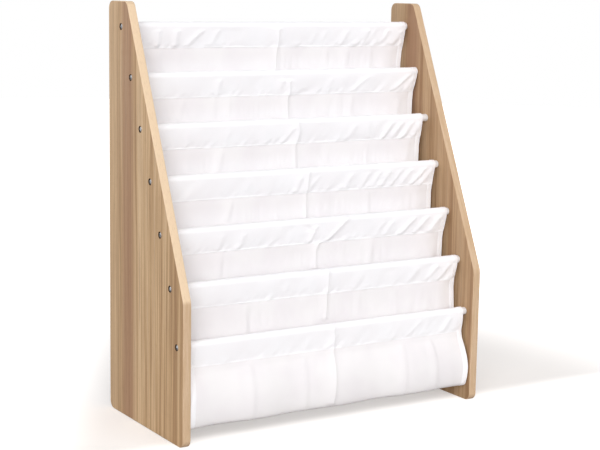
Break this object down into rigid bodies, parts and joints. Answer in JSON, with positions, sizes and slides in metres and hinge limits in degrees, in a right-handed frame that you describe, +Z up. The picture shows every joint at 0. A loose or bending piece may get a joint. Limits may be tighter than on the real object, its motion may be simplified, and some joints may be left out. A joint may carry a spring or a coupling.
{
  "type": "sling bookshelf",
  "caption": "Low display bookshelf for children: two sloping side boards joined by dowels, with cloth slings hung between them as pockets that hold books face out.",
  "frame": {"origin": "on the floor under the middle of the bookshelf", "axes": "+Z up, +X to the right side board as seen from the front, +Y to the straight back, so the pockets face -Y"},
  "size_m": [0.616, 0.287, 0.731],
  "materials": {
    "oak_board": "satin light oak laminate with a straight upright grain and lighter edge banding",
    "white_dowel": "smooth white lacquer, satin",
    "white_cloth": "smooth tightly woven white canvas with a faint sheen, folded hems and stitched seams",
    "bolt_steel": "bright zinc-plated steel, satin",
    "insert_brass": "turned, matte"
  },
  "bodies": {
    "root": {"left_side_panel": "oak_board", "right_side_panel": "oak_board", "dowel_1": "white_dowel", "dowel_2": "white_dowel", "dowel_3": "white_dowel", "dowel_4": "white_dowel", "dowel_5": "white_dowel", "dowel_6": "white_dowel", "dowel_7": "white_dowel", "left_bolt_1": "bolt_steel", "left_bolt_2": "bolt_steel", "left_bolt_3": "bolt_steel", "left_bolt_4": "bolt_steel", "left_bolt_5": "bolt_steel", "left_bolt_6": "bolt_steel", "left_bolt_7": "bolt_steel", "left_insert_1": "insert_brass", "left_insert_2": "insert_brass", "left_insert_3": "insert_brass", "left_insert_4": "insert_brass", "left_insert_5": "insert_brass", "left_insert_6": "insert_brass", "left_insert_7": "insert_brass", "right_bolt_1": "bolt_steel", "right_bolt_2": "bolt_steel", "right_bolt_3": "bolt_steel", "right_bolt_4": "bolt_steel", "right_bolt_5": "bolt_steel", "right_bolt_6": "bolt_steel", "right_bolt_7": "bolt_steel", "right_insert_1": "insert_brass", "right_insert_2": "insert_brass", "right_insert_3": "insert_brass", "right_insert_4": "insert_brass", "right_insert_5": "insert_brass", "right_insert_6": "insert_brass", "right_insert_7": "insert_brass", "sling_1": "white_cloth", "sling_2": "white_cloth", "sling_3": "white_cloth", "sling_4": "white_cloth", "sling_5": "white_cloth", "sling_6": "white_cloth"}
  },
  "joints": []
}
